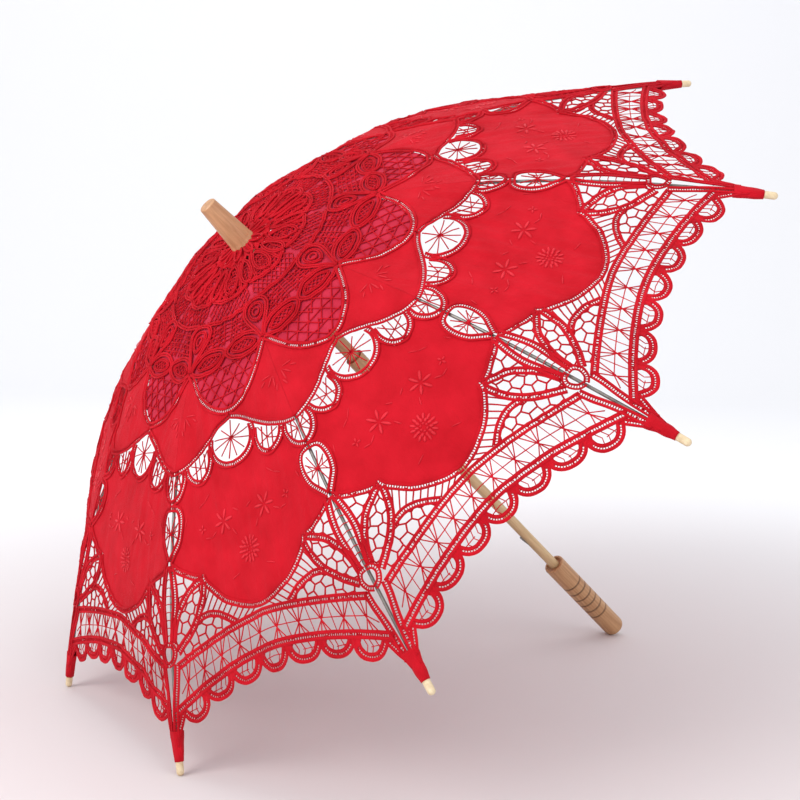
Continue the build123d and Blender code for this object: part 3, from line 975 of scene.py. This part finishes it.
def petal_loops():
    """Crossing loops of narrow tape, stitched down over the ruffle."""
    work = Work()
    for i in range(RIBS):
        loop = []
        for u in np.linspace(0, 1, 26):
            a = 2 * math.pi * u
            r = 17.5 - 8.5 * math.cos(a)
            spoke = math.radians(36 * i + 17 * math.sin(a) * (12 / r))
            loop.append((r * math.cos(spoke), r * math.sin(spoke)))
        ribbon(work, evenly(np.array(loop), 1.4), 2.2, 1.4, RUFFLE_BASE + 3.0 + (i % 2) * 0.7)
    return work


def over_the_ruffle(points):
    """Flat points round the shaft, sinking a little towards the ruffle's edge."""
    x, y, z = points[:, 0], points[:, 1], points[:, 2]
    return at(x, y, z - 0.05 * np.maximum(np.hypot(x, y) - 10, 0) ** 1.2)


loops = build("ruffle_tape", [(petal_loops(), tape_red)], over_the_ruffle, False)
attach(loops, "frame")


# ---- sleeves that tie the cloth to each rib's wooden tip ----
SLEEVE_START = 392.5  # along the gore
SLEEVE_LENGTH = 23.0
SLEEVE_WALL = 0.8


def sleeve():
    """A tapered tube of gathered tape round the end of a rib."""
    work = Work()
    stations, m = 16, 20
    for layer, grow in ((0, 0.0), (1, -SLEEVE_WALL)):
        pts = []
        for i in range(stations):
            t = i / (stations - 1)
            s = SLEEVE_START + t * SLEEVE_LENGTH
            half_y = 3.0 * (1 - t) ** 1.2 + 3.7 + grow + 0.3 * math.sin(11 * t)
            half_z = 1.0 * (1 - t) + 3.6 + grow
            for j in range(m):
                a = 2 * math.pi * j / m
                fold = 1 + 0.07 * math.sin(a * 6 + 3 * t)
                pts.append((s, half_y * fold * math.cos(a), half_z * fold * math.sin(a)))
        start = layer * stations * m
        faces = []
        for i in range(stations - 1):
            for j in range(m):
                k = (j + 1) % m
                f = (i * m + j, (i + 1) * m + j, (i + 1) * m + k, i * m + k)
                faces.append(tuple(reversed(f)) if layer == 0 else f)
        work.points += pts
        work.pattern += [(p[0], p[1]) for p in pts]
        work.faces += [tuple(v + start for v in f) for f in faces]
    n = stations * m
    for j in range(m):
        k = (j + 1) % m
        work.faces.append((j, k, k + n, j + n)[::-1])
        e = (stations - 1) * m
        work.faces.append((e + k, e + j, e + j + n, e + k + n)[::-1])
    return work


for rib in range(RIBS):
    o = build(f"tip_sleeve_{rib + 1:02d}", [(sleeve(), tape_red)], partial(on_rib, rib=rib), False)
    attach(o, f"rib_{rib + 1:02d}")


# ---- floor, lights and camera ----
def floor_with_painted_shade():
    """A pale floor with painted shade round the parasol: darker near it, brightening into a white wall away
    from it.
    """
    m, nodes, links, shader = finish_of("pale_floor_painted_shade", 0.8)
    place = nodes.new("ShaderNodeTexCoord")
    away = nodes.new("ShaderNodeVectorMath")
    away.operation = "DISTANCE"
    away.inputs[1].default_value = (0, 0, 0)
    links.new(place.outputs["Object"], away.inputs[0])
    spread = nodes.new("ShaderNodeMapRange")
    spread.interpolation_type = "SMOOTHSTEP"
    spread.inputs["From Min"].default_value = 0.2
    spread.inputs["From Max"].default_value = 1.3
    links.new(away.outputs["Value"], spread.inputs["Value"])
    # painted shade: the floor's colour darker near the parasol, lighter far from it
    near, far = (0.66, 0.60, 0.60), (0.93, 0.93, 0.94)
    two_colours(nodes, links, shader, spread.outputs["Result"], near, far, 0.0, 1.0)
    return m


VIEW_TURN, VIEW_RISE, VIEW_ROLL = (math.radians(v) for v in (-33.256, 7.083, 0.984))
CAMERA_FROM_RING = (-0.6950, -1.0933, 0.1467)  # metres
CAMERA_LENS = 63.522  # mm


def backdrop():
    """A floor that curves up into a wall, square to the camera."""
    mesh = bpy.data.meshes.new("backdrop")
    away = np.array((-math.sin(VIEW_TURN), math.cos(VIEW_TURN), 0.0))
    right = np.array((math.cos(VIEW_TURN), math.sin(VIEW_TURN), 0.0))
    floor_end, bend = 2.2, 1.2
    profile = [(-6.0, 0.0), (floor_end, 0.0)]
    for t in np.linspace(0.05, math.pi / 2, 16):
        profile.append((floor_end + bend * math.sin(t), bend - bend * math.cos(t)))
    profile.append((floor_end + bend, 6.0))
    verts = [tuple(away * d + right * w + np.array((0, 0, h))) for d, h in profile for w in (-7.0, 7.0)]
    faces = [(2 * i, 2 * i + 1, 2 * i + 3, 2 * i + 2) for i in range(len(profile) - 1)]
    mesh.from_pydata(verts, [], faces)
    mesh.polygons.foreach_set("use_smooth", [True] * len(faces))
    mesh.materials.append(floor_with_painted_shade())
    mesh.update()
    o = bpy.data.objects.new("backdrop", mesh)
    bpy.context.scene.collection.objects.link(o)


def lamp(name, place, aim, power, size, colour=(1, 1, 1)):
    data = bpy.data.lights.new(name, "AREA")
    data.energy, data.size, data.color = power, size, colour
    o = bpy.data.objects.new(name, data)
    o.location = place
    o.rotation_euler = (Vector(aim) - Vector(place)).to_track_quat("-Z", "Y").to_euler()
    bpy.context.scene.collection.objects.link(o)


backdrop()
middle = Vector(RING)
lamp("window_light", (-2.6, -0.3, 1.9), middle, 62, 1.8, (1.0, 0.98, 0.97))
lamp("fill_light", (0.6, -2.6, 1.6), middle, 24, 2.4, (1.0, 0.98, 0.98))
lamp("top_light", (0.3, 0.4, 3.0), middle, 26, 2.6)

world = bpy.data.worlds.new("soft_room")
world.use_nodes = True
world.node_tree.nodes["Background"].inputs["Color"].default_value = (0.93, 0.95, 1.0, 1)
world.node_tree.nodes["Background"].inputs["Strength"].default_value = 0.72
bpy.context.scene.world = world
bpy.context.scene.view_settings.view_transform = "Standard"


def make_camera():
    """The camera, given by its place from the ring's centre and its turn."""
    turn, rise = VIEW_TURN, VIEW_RISE
    back = Vector((math.sin(turn) * math.cos(rise), -math.cos(turn) * math.cos(rise), math.sin(rise)))
    level = Vector((math.cos(turn), math.sin(turn), 0))
    upright = back.cross(level)
    right = level * math.cos(VIEW_ROLL) + upright * math.sin(VIEW_ROLL)
    up = upright * math.cos(VIEW_ROLL) - level * math.sin(VIEW_ROLL)
    place = RING + np.array(CAMERA_FROM_RING)
    data = bpy.data.cameras.new("camera")
    data.sensor_width = 36.0
    data.lens = CAMERA_LENS
    data.clip_end = 40
    o = bpy.data.objects.new("camera", data)
    o.matrix_world = Matrix((
        (right.x, up.x, back.x, place[0]),
        (right.y, up.y, back.y, place[1]),
        (right.z, up.z, back.z, place[2]),
        (0, 0, 0, 1),
    ))
    bpy.context.scene.collection.objects.link(o)
    bpy.context.scene.camera = o


make_camera()
